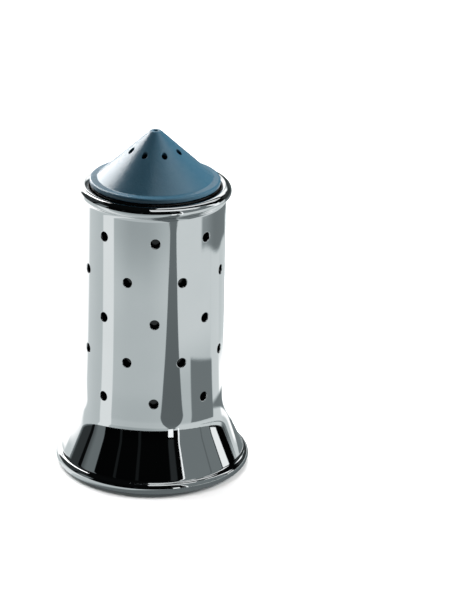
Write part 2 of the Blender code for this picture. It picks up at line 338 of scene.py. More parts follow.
def cap_finish():
    mat, n, b = material("blue_plastic")
    obj, pol = turned_coords(n)
    grain = n.noise(obj, 9000.0, 2.0, 0.6)
    cloud = n.noise(obj, 120.0, 3.0, 0.5)
    tone = n.mix_colour(cloud, (0.058, 0.158, 0.238, 1.0), (0.066, 0.172, 0.252, 1.0))
    n.link(tone, b.inputs["Base Color"])
    n.link(n.math('ADD', n.step(cloud, 0.3, 0.7, 0.25, 0.28), n.step(grain, 0.3, 0.8, 0.0, 0.03)),
           b.inputs["Roughness"])
    b.inputs["IOR"].default_value = 1.52
    satin = n.noise(obj, 1500.0, 2.0, 0.6)
    bumped(n, b, n.math('ADD', satin, n.math('MULTIPLY', grain, 0.1)), 0.6, 0.00006)
    return mat


def liner_finish():
    mat, n, b = material("black_plastic")
    obj, pol = turned_coords(n)
    cloud = n.noise(obj, 200.0, 3.0, 0.5)
    tone = n.mix_colour(cloud, (0.010, 0.010, 0.011, 1.0), (0.015, 0.015, 0.016, 1.0))
    n.link(tone, b.inputs["Base Color"])
    n.link(n.step(n.noise(n.mapping(pol, (2.0, 900.0, 900.0)), 1.0, 3.0), 0.3, 0.8, 0.10, 0.22),
           b.inputs["Roughness"])
    bumped(n, b, n.noise(obj, 350.0, 2.0), 0.05, 0.0002)
    return mat


def base_finish():
    mat, n, b = material("base_plastic")
    obj, pol = turned_coords(n)
    grain = n.noise(obj, 5200.0, 2.0, 0.6)
    cloud = n.noise(obj, 140.0, 3.0)
    n.link(n.mix_colour(cloud, (0.013, 0.013, 0.014, 1.0), (0.021, 0.021, 0.022, 1.0)), b.inputs["Base Color"])
    n.link(n.step(grain, 0.3, 0.75, 0.42, 0.58), b.inputs["Roughness"])
    bumped(n, b, grain, 0.35, 0.0001)
    return mat


def rubber_finish(name, tone, rough):
    mat, n, b = material(name)
    obj, pol = turned_coords(n)
    grain = n.noise(obj, 3800.0, 3.0, 0.65)
    cloud = n.noise(obj, 260.0, 2.0)
    low = tuple(0.75 * t for t in tone)
    n.link(n.mix_colour(cloud, (*low, 1.0), (*tone, 1.0)), b.inputs["Base Color"])
    n.link(n.step(grain, 0.3, 0.75, rough - 0.08, rough + 0.08), b.inputs["Roughness"])
    bumped(n, b, grain, 0.3, 0.0001)
    return mat


def screw_finish():
    mat, n, b = material("screw_steel")
    obj, pol = turned_coords(n)
    lines = n.noise(n.mapping(obj, (4000.0, 4000.0, 4000.0)), 1.0, 3.0)
    n.link(n.mix_colour(lines, (0.46, 0.46, 0.47, 1.0), (0.62, 0.62, 0.62, 1.0)), b.inputs["Base Color"])
    n.link(n.step(lines, 0.3, 0.75, 0.22, 0.38), b.inputs["Roughness"])
    b.inputs["Metallic"].default_value = 1.0
    bumped(n, b, lines, 0.1, 0.00005)
    return mat


# ------------------------------------------------------------------ steel sleeve
def sleeve(mat):
    b = Builder()
    cols, rows, nx, nz = 16, 5, NSEG // 16, 14
    phase = -math.pi / cols
    edges = [ROW_Z[0] + 6.75, *(0.5 * (ROW_Z[k] + ROW_Z[k + 1]) for k in range(4)), BEND_Z + 0.25]

    def height(j):
        k, f = divmod(j, nz)
        return edges[rows] if k == rows else edges[k] + (edges[k + 1] - edges[k]) * f / nz

    def wall(radius, sign, steps):
        """One face of the wall with the punched openings; returns top ring, bottom ring, hole rings."""
        cache = {}

        def grid(i, j):
            i %= NSEG
            if (i, j) not in cache:
                a = phase + TAU * i / NSEG
                s, c = math.sin(a), -math.cos(a)
                cache[i, j] = b.vert((radius * s, radius * c, height(j)), (sign * s, sign * c, 0.0))
            return cache[i, j]

        def quad(p, q, r, s):
            b.faces.append((p, q, r, s) if sign > 0 else (s, r, q, p))

        mouths = {}
        for col in range(cols):
            for row in range(rows):
                i0, j0 = col * nx, row * nz
                if (col + row) % 2:
                    for i in range(i0, i0 + nx):
                        for j in range(j0, j0 + nz):
                            quad(grid(i, j), grid(i, j + 1), grid(i + 1, j + 1), grid(i + 1, j))
                    continue
                # loop round the cell, anticlockwise seen from outside
                loop = [(i0, j) for j in range(j0, j0 + nz)] + [(i, j0 + nz) for i in range(i0, i0 + nx)]
                loop += [(i0 + nx, j) for j in range(j0 + nz, j0, -1)] + [(i, j0) for i in range(i0 + nx, i0, -1)]
                ac = TAU * col / cols
                out = Vector((math.sin(ac), -math.cos(ac), 0))
                side = Vector((math.cos(ac), math.sin(ac), 0))
                zc = ROW_Z[row]
                outer = [grid(*g) for g in loop]
                flat, dirs = [], []
                for i, j in loop:
                    a = phase + TAU * i / NSEG - ac
                    u, v = WALL * a, height(j) - zc
                    flat.append((u, v))
                    dirs.append(math.atan2(v, u))
                prev = outer
                rim = HOLE + (ROLL if sign > 0 else 0.07)
                for t in steps:
                    cur = []
                    for (u, v), d in zip(flat, dirs):
                        hu, hv = WALL * math.asin(rim * math.cos(d) / WALL), rim * math.sin(d)
                        a = ((1 - t) * u + t * hu) / WALL + ac
                        if t == 1.0:
                            s_, y_ = rim * math.cos(d), 0.0
                            y_ = math.sqrt(radius * radius - s_ * s_)
                            p = out * y_ + side * s_
                            nrm = p.normalized()
                            cur.append(b.vert((p.x, p.y, zc + hv), (sign * nrm.x, sign * nrm.y, 0.0)))
                        else:
                            s, c = math.sin(a), -math.cos(a)
                            cur.append(b.vert((radius * s, radius * c, zc + (1 - t) * v + t * hv),
                                              (sign * s, sign * c, 0.0)))
                    for k in range(len(loop)):
                        m = (k + 1) % len(loop)
                        quad(prev[k], prev[m], cur[m], cur[k])
                    prev = cur
                mouths[col, row] = (prev, dirs, out, side, zc)
        top = [grid(i, 0) for i in range(NSEG)]
        low = [grid(i, rows * nz) for i in range(NSEG)]
        return top, low, mouths

    top_o, low_o, mouths_o = wall(WALL, 1.0, (0.42, 0.72, 0.9, 1.0))
    top_i, low_i, mouths_i = wall(INNER, -1.0, (0.55, 1.0))

    # punched edges: rolled over outside, a small sharp edge inside
    for key, (outer, dirs, out, side, zc) in mouths_o.items():
        inner = mouths_i[key][0]
        prev = outer
        ring_defs = []
        for k in range(1, 7):
            psi = math.pi / 2 * k / 6
            ring_defs.append((HOLE + ROLL * (1 - math.sin(psi)), ROLL * (1 - math.cos(psi)), psi))
        ring_defs.append((HOLE, SHEET - 0.07, math.pi / 2))
        for rho, depth, psi in ring_defs:
            cur = []
            for d in dirs:
                s_ = rho * math.cos(d)
                y_ = math.sqrt(WALL * WALL - s_ * s_) - depth
                p = out * y_ + side * s_
                rad = Vector((p.x, p.y, 0)).normalized()
                axis = -(side * math.cos(d)) + Vector((0, 0, -math.sin(d)))
                nrm = rad * math.cos(psi) + axis * math.sin(psi)
                cur.append(b.vert((p.x, p.y, zc + rho * math.sin(d)), tuple(nrm)))
            for k in range(len(dirs)):
                m = (k + 1) % len(dirs)
                b.faces.append((prev[k], prev[m], cur[m], cur[k]))
            prev = cur
        for k in range(len(dirs)):
            m = (k + 1) % len(dirs)
            b.faces.append((prev[k], prev[m], inner[m], inner[k]))

    # lip: underside and mouth of the roll, over its crown, round below and down the cove
    mouth, crown = LIP_IN + LIP_EDGE, LIP_R - LIP_CROWN
    mouth_z = LIP_Z + math.sqrt((LIP_CROWN - LIP_EDGE) ** 2 - (crown - mouth) ** 2)
    turn = math.degrees(math.atan2(mouth_z - LIP_Z, mouth - crown))
    path = [(INNER, LIP_LOW - 0.3, -1, 0)] + bend((INNER, LIP_LOW - 0.3), (INNER, LIP_LOW), (INNER - 0.2, LIP_LOW), 5)
    path += [(INNER - 0.2, LIP_LOW, 0, -1)]
    path += arc(mouth, LIP_LOW + LIP_EDGE, LIP_EDGE, -90, -180, 10)
    path += arc(mouth, mouth_z, LIP_EDGE, 180, turn, 8)
    path += arc(crown, LIP_Z, LIP_CROWN, turn, 0, 44)[1:]
    path += arc(LIP_R - LIP_UNDER, LIP_Z, LIP_UNDER, 0, -COVE_SWEEP, 22)[1:]
    cs = math.radians(COVE_SWEEP)
    cove = (path[-1][0] - WALL) / (1 - math.cos(cs))
    path += arc(WALL + cove, path[-1][1] - cove * math.sin(cs), cove, 180 - COVE_SWEEP, 180, 22, hollow=True)[1:]
    lip_rows = b.rings(path, phase)
    b.skin([top_i] + lip_rows + [top_o])
    # foot: bend, flare, rolled edge, and back up inside
    f = math.radians(FLARE)
    fil = wall_bend(32)
    along = (math.sin(f), -math.cos(f))
    stop = (END_R - 0.75 * along[0], END_Z - 0.75 * along[1])
    flare = line(fil[-1][:2], stop, 6)[1:]
    bead = arc(BEAD_R, BEAD_Z, BEAD_T, BEAD_MEET - 17, -236, 96)
    start_in = (END_R - SHEET * math.cos(f), END_Z - SHEET * math.sin(f))
    up_in = (start_in[0] - 0.6 * along[0], start_in[1] - 0.6 * along[1])
    # the inside of the sheet faces the axis
    fil_in = [(r - SHEET * nr, z - SHEET * nz, -nr, -nz) for r, z, nr, nz in reversed(wall_bend(10))]
    path = fil + flare + bend(flare[-1], (END_R, END_Z), bead[0], 10) + bead
    path += bend(bead[-1], start_in, up_in, 6)
    path += line(up_in, fil_in[0][:2], 3)[:-1] + fil_in
    rows_low = b.rings(path, phase)
    b.skin([low_o] + rows_low + [low_i])
    return b.build("sleeve_polished", mat)


# ------------------------------------------------------------------ cap
CAP_APEX, CAP_RUN = 111.2 + LIFT, 1.08
CAP_TIP = 109.6 + LIFT
POUR_R, POUR_RING, POUR_PHASE = 0.9, 8.0, math.radians(-3.0)
CONE_NR, CONE_NZ = 1 / math.hypot(1, CAP_RUN), CAP_RUN / math.hypot(1, CAP_RUN)
CAP_DROP = 1.6 * math.hypot(1, CAP_RUN) / CAP_RUN
FL_LOW, FL_TOP, FL_R = 92.55 + LIFT, 94.1 + LIFT, 20.6
SEAL_Z = 89.3 + LIFT


def cone(r):
    return CAP_APEX - r / CAP_RUN


def cap(mat):
    b = Builder()
    cells, na, nr = 8, NSEG // 8, 12
    phase = POUR_PHASE                       # cell borders lie midway between the holes
    ra, rb = 5.4, 10.6

    def band(lift, sign, steps, rim):
        cache = {}

        def grid(i, j):
            i %= NSEG
            if (i, j) not in cache:
                a = phase + TAU * i / NSEG
                r = ra + (rb - ra) * j / nr
                s, c = math.sin(a), -math.cos(a)
                cache[i, j] = b.vert((r * s, r * c, cone(r) - lift),
                                     (sign * CONE_NR * s, sign * CONE_NR * c, sign * CONE_NZ))
            return cache[i, j]

        mouths = []
        for cell in range(cells):
            i0 = cell * na
            loop = [(i0, j) for j in range(nr)] + [(i, nr) for i in range(i0, i0 + na)]
            loop += [(i0 + na, j) for j in range(nr, 0, -1)] + [(i, 0) for i in range(i0 + na, i0, -1)]
            ac = phase + TAU * (cell + 0.5) / cells
            out = Vector((math.sin(ac), -math.cos(ac), 0))
            side = Vector((math.cos(ac), math.sin(ac), 0))
            flat, dirs = [], []
            for i, j in loop:
                a = phase + TAU * i / NSEG - ac
                r = ra + (rb - ra) * j / nr
                x, y = r * math.cos(a) - POUR_RING, r * math.sin(a)
                flat.append((x, y))
                dirs.append(math.atan2(y, x))
            prev = [grid(*g) for g in loop]
            for t in steps:
                cur = []
                for (x, y), d in zip(flat, dirs):
                    px = (1 - t) * x + t * rim * math.cos(d) + POUR_RING
                    py = (1 - t) * y + t * rim * math.sin(d)
                    p = out * px + side * py
                    r = math.hypot(px, py)
                    rad = p / r
                    cur.append(b.vert((p.x, p.y, cone(r) - lift),
                                      (sign * CONE_NR * rad.x, sign * CONE_NR * rad.y, sign * CONE_NZ)))
                for k in range(len(loop)):
                    m = (k + 1) % len(loop)
                    q = (prev[k], prev[m], cur[m], cur[k])
                    b.faces.append(q if sign > 0 else q[::-1])
                prev = cur
            mouths.append((prev, dirs, out, side))
        return [grid(i, 0) for i in range(NSEG)], [grid(i, nr) for i in range(NSEG)], mouths

    edge = 0.14
    top_o, low_o, mo = band(0.0, 1.0, (0.4, 0.7, 0.88, 1.0), POUR_R + edge)
    top_i, low_i, mi = band(CAP_DROP, -1.0, (0.5, 1.0), POUR_R + 0.5)
    for (outer, dirs, out, side), (inner, _, _, _) in zip(mo, mi):
        prev = outer
        defs = [(POUR_R + edge * (1 - math.sin(math.pi / 2 * k / 5)),
                 edge * (1 - math.cos(math.pi / 2 * k / 5)), math.pi / 2 * k / 5) for k in range(1, 6)]
        defs.append((POUR_R + 0.05, 0.5, 2.0))
        for rho, depth, psi in defs:
            cur = []
            for d in dirs:
                px, py = POUR_RING + rho * math.cos(d), rho * math.sin(d)
                p = out * px + side * py
                r = math.hypot(px, py)
                rad = p / r
                nc = Vector((CONE_NR * rad.x, CONE_NR * rad.y, CONE_NZ))
                nw = -(out * math.cos(d) + side * math.sin(d))
                nrm = nc * math.cos(psi) + nw * math.sin(psi)
                cur.append(b.vert((p.x, p.y, cone(r) - depth), tuple(nrm)))
            for k in range(len(dirs)):
                m = (k + 1) % len(dirs)
                b.faces.append((prev[k], prev[m], cur[m], cur[k]))
            prev = cur
        for k in range(len(dirs)):
            m = (k + 1) % len(dirs)
            b.faces.append((prev[k], prev[m], inner[m], inner[k]))

    # tip: hole, flat crown, rolled over to the cone
    hole_low = cone(0.8) - CAP_DROP
    tip = rounded([(0.8, hole_low, 0), (0.8, CAP_TIP, 0.16), (CAP_RUN * (CAP_APEX - CAP_TIP), CAP_TIP, 0.7),
                   (ra, cone(ra), 0)], closed=False)
    rows = b.rings(tip, phase)
    b.skin(rows[:-1] + [top_o])
    tip_low = rows[0]
    # cone down to the crease, flange, plug skirt with its groove, up inside
    sk, gr, ski = 18.6, 17.2, 15.7
    outer = [(rb, cone(rb), 0), (18.3, cone(18.3), 0.6), (FL_R, FL_TOP, 0.8), (FL_R, FL_LOW, 0.25),
             (sk, FL_LOW, 0.3), (sk, SEAL_Z + 1.1, 0.15), (gr, SEAL_Z + 1.1, 0.3), (gr, SEAL_Z - 1.1, 0.3),
             (sk, SEAL_Z - 1.1, 0.15), (sk, 85.6 + LIFT, 0.5), (sk - 0.6, 85.0 + LIFT, 0.4),
             (ski + 0.15, 85.0 + LIFT, 0.3), (ski, 85.4 + LIFT, 0.3), (ski, cone(ski) - CAP_DROP, 0.8),
             (rb, cone(rb) - CAP_DROP, 0)]
    path = rounded(outer, closed=False)
    rows = b.rings(path[1:-1], phase)
    b.skin([low_o] + rows + [low_i])
    b.skin([top_i, tip_low])
    return b.build("cap_cone", mat)


# ------------------------------------------------------------------ plain turned pieces
def turned_piece(name, path, mat, axis_start=None, axis_end=None, closed=True):
    b = Builder()
    rows = b.rings(path)
    b.skin(rows + [rows[0]] if closed else rows)
    if axis_start is not None:
        b.fan(rows[0], b.vert((0, 0, axis_start), (0, 0, 1)), False)
    if axis_end is not None:
        b.fan(rows[-1], b.vert((0, 0, axis_end), (0, 0, -1)), True)
    return b.build(name, mat)


def tool_cylinder(name, place, radius, z0, z1, segments=64, radius2=None):
    bm = bmesh.new()
    bmesh.ops.create_cone(bm, cap_ends=True, segments=segments, radius1=radius * MM,
                          radius2=(radius if radius2 is None else radius2) * MM, depth=(z1 - z0) * MM,
                          matrix=Matrix.Translation((place[0] * MM, place[1] * MM, 0.5 * (z0 + z1) * MM)))
    mesh = bpy.data.meshes.new(name)
    bm.to_mesh(mesh)
    bm.free()
    obj = bpy.data.objects.new(name, mesh)
    bpy.context.scene.collection.objects.link(obj)
    return obj


def cut(obj, tools, operation):
    for tool in tools:
        mod = obj.modifiers.new("cut", 'BOOLEAN')
        mod.operation, mod.solver, mod.object = operation, 'EXACT', tool
    bpy.context.view_layer.update()
    dg = bpy.context.evaluated_depsgraph_get()
    mesh = bpy.data.meshes.new_from_object(obj.evaluated_get(dg))
    obj.modifiers.clear()
    mats = [m for m in obj.data.materials]
    obj.data = mesh
    mesh.materials.clear()
    for m in mats[:1]:
        mesh.materials.append(m)
    mesh.polygons.foreach_set("material_index", [0] * len(mesh.polygons))
    mesh.shade_smooth()
    mesh.set_sharp_from_angle(angle=math.radians(32))
    for tool in tools:
        bpy.data.objects.remove(tool, do_unlink=True)


def screw_places():
    return [(11.0 * math.sin(math.pi + TAU * i / 3), -11.0 * math.cos(math.pi + TAU * i / 3)) for i in range(3)]


def liner(mat):
    top, low = 92.25 + LIFT, 9.0 + FOOT
    path = rounded([(17.0, low + 1.5, 0), (19.3, low + 1.5, 2.0), (19.3, top, 0.35), (LIP_IN - 0.3, top, 0.35),
                    (LIP_IN - 0.3, LIP_LOW - 0.3, 0.2), (INNER - 0.3, LIP_LOW - 0.3, 0.3),
                    (INNER - 0.3, 86.0 + LIFT, 0.5), (20.5, 85.1 + LIFT, 0.5), (20.5, low, 1.2), (17.0, low, 0)],
                   closed=False)
    obj = turned_piece("liner_cup", path, mat, axis_start=low + 1.5, axis_end=low, closed=False)
    tools = []
    for k, p in enumerate(screw_places()):
        tools.append(tool_cylinder("boss_%d" % k, p, 3.2, 4.0 + FOOT, low + 0.75, 48))
    cut(obj, tools, 'UNION')
    cut(obj, [tool_cylinder("pilot_%d" % k, p, 1.5, 1.0, 9.3 + FOOT, 32) for k, p in enumerate(screw_places())],
        'DIFFERENCE')
    return obj


def seal_ring(mat):
    return turned_piece("seal_o_ring", arc(18.25, SEAL_Z, 0.75, 0, -360, 40)[:-1], mat)


def base_disc(mat):
    lo, hi = 0.9 + FOOT, 3.6 + FOOT
    pts = [(20.0, hi, 0), (26.6, hi, 0.25), (27.0, 2.6 + FOOT, 0.4), (27.0, lo, 0.35), (25.9, lo, 0.12),
           (25.9, 2.0 + FOOT, 0.12), (21.3, 2.0 + FOOT, 0.12), (21.3, lo, 0.12),
           (19.4, lo, 0.10), (19.2, lo + 0.25, 0.10), (18.4, lo + 0.25, 0.10), (18.2, lo, 0.10), (16.0, lo, 0)]
    obj = turned_piece("base_disc", rounded(pts, closed=False), mat, axis_start=hi, axis_end=lo, closed=False)
    tools = []
    for k, p in enumerate(screw_places()):
        tools.append(tool_cylinder("bore_%d" % k, p, 3.2, lo - 1, 2.3 + FOOT, 64))
        tools.append(tool_cylinder("hole_%d" % k, p, 1.6, lo - 1, hi + 1, 40))
        tools.append(tool_cylinder("mouth_%d" % k, p, 3.2 + 1.25, lo - 1, lo + 0.25, 64, 3.2))
    cut(obj, tools, 'DIFFERENCE')
    return obj


def screws(mat):
    out = []
    seg = 48
    tip, neck = 9.0 + FOOT, 2.0 + FOOT
    for k, place in enumerate(screw_places()):
        b = Builder()
        rows = []
        # threaded shank: the radius follows a helix
        n = 132
        for j in range(n + 1):
            z = tip - (tip - neck - 0.05) * j / n
            row = []
            for i in range(seg):
                a = TAU * i / seg
                ph = (z / 0.95 - a / TAU) % 1.0
                crest = max(0.0, 1 - abs(ph - 0.5) / 0.28)
                fade = min(1.0, (tip - z) / 1.2) * min(1.0, max(0.0, (z - neck - 0.1) / 0.4))
                core = 0.98 * min(1.0, 0.15 + (tip - z) / 1.3)
                r = core + 0.38 * crest * fade
                row.append(b.vert((r * math.sin(a), -r * math.cos(a), z), (math.sin(a), -math.cos(a), 0)))
            rows.append(row)
        head = rounded([(0.98, neck, 0), (2.7, neck, 0.12), (2.7, 1.35 + FOOT, 0.25), (2.1, 1.0 + FOOT, 0.5), (1.7, 1.0 + FOOT, 0)],
                       closed=False)
        for r, z, nr, nz in head[1:]:
            rows.append([b.vert((r * math.sin(TAU * i / seg), -r * math.cos(TAU * i / seg), z),
                                (nr * math.sin(TAU * i / seg), -nr * math.cos(TAU * i / seg), nz)) for i in range(seg)])
        b.skin(rows)
        b.fan(rows[0], b.vert((0, 0, tip + 0.05), (0, 0, 1)), False)
        b.fan(rows[-1], b.vert((0, 0, 1.0 + FOOT), (0, 0, -1)), True)
        obj = b.build("base_screw_fine_%d" % (k + 1), mat, fix_normals=False)
        obj.data.transform(Matrix.Translation((place[0] * MM, place[1] * MM, 0)))
        tools = []
        for turn in (0, 90):
            bm = bmesh.new()
            bmesh.ops.create_cube(bm, size=1.0, matrix=Matrix.Diagonal((2.8 * MM, 0.62 * MM, 1.2 * MM, 1)))
            for v in bm.verts:                       # the recess narrows towards its bottom
                if v.co.z > 0:
                    v.co.x *= 0.45
                    v.co.y *= 0.8
            mesh = bpy.data.meshes.new("recess")
            bm.to_mesh(mesh)
            bm.free()
            tool = bpy.data.objects.new("recess", mesh)
            tool.matrix_world = (Matrix.Translation((place[0] * MM, place[1] * MM, (1.0 + FOOT) * MM))
                                 @ Matrix.Rotation(math.radians(20 + 35 * k + turn), 4, 'Z'))
            bpy.context.scene.collection.objects.link(tool)
            tools.append(tool)
        cut(obj, tools, 'DIFFERENCE')
        out.append(obj)
    return out


def foot_ring(mat):
    return turned_piece("foot_ring_soft", rounded([(21.6, 1.7 + FOOT, 0.2), (25.6, 1.7 + FOOT, 0.2), (25.6, 0.0, 0.38),
                                                   (21.6, 0.0, 0.38)]), mat)


# ------------------------------------------------------------------ assemble
pieces = [
    (sleeve(steel_finish()), "shaker_body", ["outer_sleeve"], "polished_steel"),
    (liner(liner_finish()), "shaker_body", ["salt_liner"], "black_plastic"),
    (cap(cap_finish()), "cap", ["cap"], "blue_plastic"),
    (seal_ring(rubber_finish("seal_rubber", (0.02, 0.02, 0.021), 0.55)), "cap_seal", ["cap_seal"], "seal_rubber"),
    (base_disc(base_finish()), "shaker_body", ["base_plate"], "base_plastic"),
    (foot_ring(rubber_finish("foot_rubber", (0.024, 0.024, 0.025), 0.72)), "shaker_body", ["foot_ring"], "foot_rubber"),
]
screw_mat = screw_finish()
for k, obj in enumerate(screws(screw_mat)):
    pieces.append((obj, "shaker_body", ["base_screw_%d" % (k + 1)], "screw_steel"))
for obj, body, nodes, slot in pieces:
    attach(obj, body)
    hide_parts(*nodes)


# ------------------------------------------------------------------ studio
def floor():
    mesh = bpy.data.meshes.new("floor")
    s = 6.0
    z = -0.0001                             # a hair below the foot ring
    mesh.from_pydata([(-s, -s, z), (s, -s, z), (s, s, z), (-s, s, z)], [], [(0, 1, 2, 3)])
    obj = bpy.data.objects.new("floor", mesh)
    bpy.context.scene.collection.objects.link(obj)
    mat, n, b = material("pale_floor")
    tc = n.add("ShaderNodeTexCoord")
    tone = n.noise(tc.outputs["Object"], 40.0, 3.0)
    n.link(n.mix_colour(tone, (0.90, 0.90, 0.90, 1), (0.93, 0.93, 0.93, 1)), b.inputs["Base Color"])
    b.inputs["Roughness"].default_value = 0.9
    b.inputs["Specular IOR Level"].default_value = 0.0
    # from below it is clear, so the underside can be looked at
    geo = n.add("ShaderNodeNewGeometry")
    clear = n.add("ShaderNodeBsdfTransparent")
    pick = n.add("ShaderNodeMixShader")
    n.link(geo.outputs["Backfacing"], pick.inputs[0])
    n.link(b.outputs[0], pick.inputs[1])
    n.link(clear.outputs[0], pick.inputs[2])
    n.link(pick.outputs[0], next(k for k in n.tree.nodes if k.type == 'OUTPUT_MATERIAL').inputs[0])
    mesh.materials.append(mat)
    obj.visible_glossy = obj.visible_diffuse = False
    return obj


def cool_tint(n, value):
    """Dim parts of the room are a little cooler than the lit ones."""
    return n.ramp(n.math('MULTIPLY', value, 1 / 1.6),
                  [(0.0, (0.82, 0.96, 1.0)), (0.13, (0.84, 0.97, 1.0)), (0.38, (0.89, 0.985, 1.0)),
                   (0.65, (0.95, 0.995, 1.0)), (0.9, (1.0, 1.0, 1.0))])


def reflected_table():
    """The table as the polished body sees it: pale sheets with the shaker's own soft shadow. Only reflections show it."""
    mesh = bpy.data.meshes.new("reflected_table")
    s = 30.0
    mesh.from_pydata([(-s, -s, -0.0002), (s, -s, -0.0002), (s, s, -0.0002), (-s, s, -0.0002)], [], [(0, 1, 2, 3)])
    obj = bpy.data.objects.new("reflected_table", mesh)
    bpy.context.scene.collection.objects.link(obj)
    mat = bpy.data.materials.new("reflected_table")
    mat.use_nodes = True
    n = Nodes(mat.node_tree)
    out = n.add("ShaderNodeOutputMaterial")
    em = n.add("ShaderNodeEmission")
    n.link(em.outputs[0], out.inputs[0])
    geo = n.add("ShaderNodeNewGeometry")
    sep = n.add("ShaderNodeSeparateXYZ")
    n.link(geo.outputs["Position"], sep.inputs[0])
    x, y = sep.outputs[0], sep.outputs[1]
    az = n.math('MULTIPLY', n.math('ARCTAN2', x, n.math('MULTIPLY', y, -1.0)), 180 / math.pi)
    r = n.math('SQRT', n.math('ADD', n.math('MULTIPLY', x, x), n.math('MULTIPLY', y, y)))
    both = n.math('MULTIPLY', n.math('SUBTRACT', r, 0.084), 26.0)
    slant = n.math('ADD', az, n.math('MINIMUM', both, 8.0))

    def over(base, mask, value):
        return n.mix(mask, base, value)

    def lap(*masks):
        m = masks[0]
        for k in masks[1:]:
            m = n.math('MULTIPLY', m, k)
        return m

    # front: plain grey, a little darker far away
    v = n.math('ADD', n.step(r, 0.07, 0.10, 0.58, 0.67), n.step(r, 0.05, 0.09, 0.12, 0.0))
    v = n.math('SUBTRACT', v, n.step(r, 0.175, 0.255, 0.0, 0.185))
    sides = n.step(n.math('ABSOLUTE', n.math('ADD', az, 24.0)), 10.0, 48.0, 0.0, 0.13)
    v = n.math('ADD', v, n.math('MULTIPLY', sides, n.step(r, 0.13, 0.23, 0.25, 1.0)))
    # left: pale sheet, a lighter one in front of it, white far left
    v = over(v, n.band(az, -200.0, -75.0, 1.0), n.step(az, -127.0, -88.0, 0.80, 0.70))
    v = over(v, n.band(slant, -84.0, -62.5, 1.2), 1.03)
    edge = n.step(r, 0.055, 0.085, -117.0, -126.0)
    v = over(v, n.step(n.math('SUBTRACT', az, edge), -3.5, 3.5, 1.0, 0.0), 1.45)
    # right: pale sheet with painted grey shade near the foot, grey patches farther out, white far right
    v = over(v, n.band(az, 30.0, 98.0, 2.0), n.step(r, 0.095, 0.15, 0.66, 0.85))
    v = over(v, n.band(az, 98.0, 200.0, 3.0), 0.85)
    v = over(v, n.band(az, 124.0, 200.0, 3.0), n.step(r, 0.09, 0.12, 1.40, 0.78))
    v = over(v, n.band(az, 154.0, 230.0, 6.0), n.step(az, 158.0, 182.0, 0.8, 1.3))
    v = over(v, lap(n.band(az, 122.0, 158.0, 3.0), n.step(r, 0.235, 0.245)), n.step(r, 0.25, 0.9, 0.27, 0.08))
    v = over(v, lap(n.band(az, 152.0, 178.0, 3.0), n.step(r, 0.24, 0.30)), n.step(r, 0.28, 0.9, 0.36, 0.17))
    # painted shadow: grey wedges right of the foot, where other things on the table cast shade
    far = n.math('ADD', n.math('MULTIPLY', az, -0.00026), 0.1363)
    v = over(v, lap(n.band(az, 57.0, 101.0, 1.5), n.step(n.math('SUBTRACT', r, far), -0.002, 0.002, 1.0, 0.0)), 0.245)
    v = over(v, lap(n.band(az, 57.0, 140.0, 3.0), n.step(r, 0.068, 0.074, 1.0, 0.0)), 0.245)
    near = n.math('ADD', n.step(az, 84.0, 118.0, 0.2245, 0.2105), n.step(az, 121.0, 138.0, 0.0, 0.0065))
    v = over(v, lap(n.band(az, 78.0, 150.0, 3.0), n.band(r, near, 0.262, 0.004)), n.step(az, 80.0, 110.0, 0.37, 0.245))
    # own shadow: a strip as wide as the body, opposite the light behind left
    d = math.radians(28.8)
    t = n.math('ADD', n.math('MULTIPLY', x, math.sin(d)), n.math('MULTIPLY', y, -math.cos(d)))
    u = n.math('ADD', n.math('MULTIPLY', x, math.cos(d)), n.math('MULTIPLY', y, math.sin(d)))
    u = n.math('ABSOLUTE', n.math('ADD', u, 0.003))
    half = n.math('SUBTRACT', n.step(t, 0.066, 0.11, 0.0214, 0.0238), n.step(t, 0.185, 0.24, 0.0, 0.0024))
    half = n.math('ADD', half, n.step(t, 0.250, 0.264, 0.0, 0.012))
    strip = lap(n.step(n.math('SUBTRACT', u, half), -0.0013, 0.0013, 1.0, 0.0), n.step(t, 0.0, 0.01))
    v = over(v, strip, n.step(t, 0.08, 0.24, 0.168, 0.205))
    # contact shadow: the foot's outline moved a little to the front and right
    dx, dy = n.math('SUBTRACT', x, 0.0055), n.math('ADD', y, 0.007)
    near = n.math('SQRT', n.math('ADD', n.math('MULTIPLY', dx, dx), n.math('MULTIPLY', dy, dy)))
    v = over(v, n.step(near, 0.0295, 0.0335, 1.0, 0.0), 0.19)
    n.link(v, em.inputs["Strength"])
    n.link(cool_tint(n, v), em.inputs["Color"])
    mesh.materials.append(mat)
    obj.visible_camera = obj.visible_diffuse = obj.visible_shadow = obj.visible_transmission = False


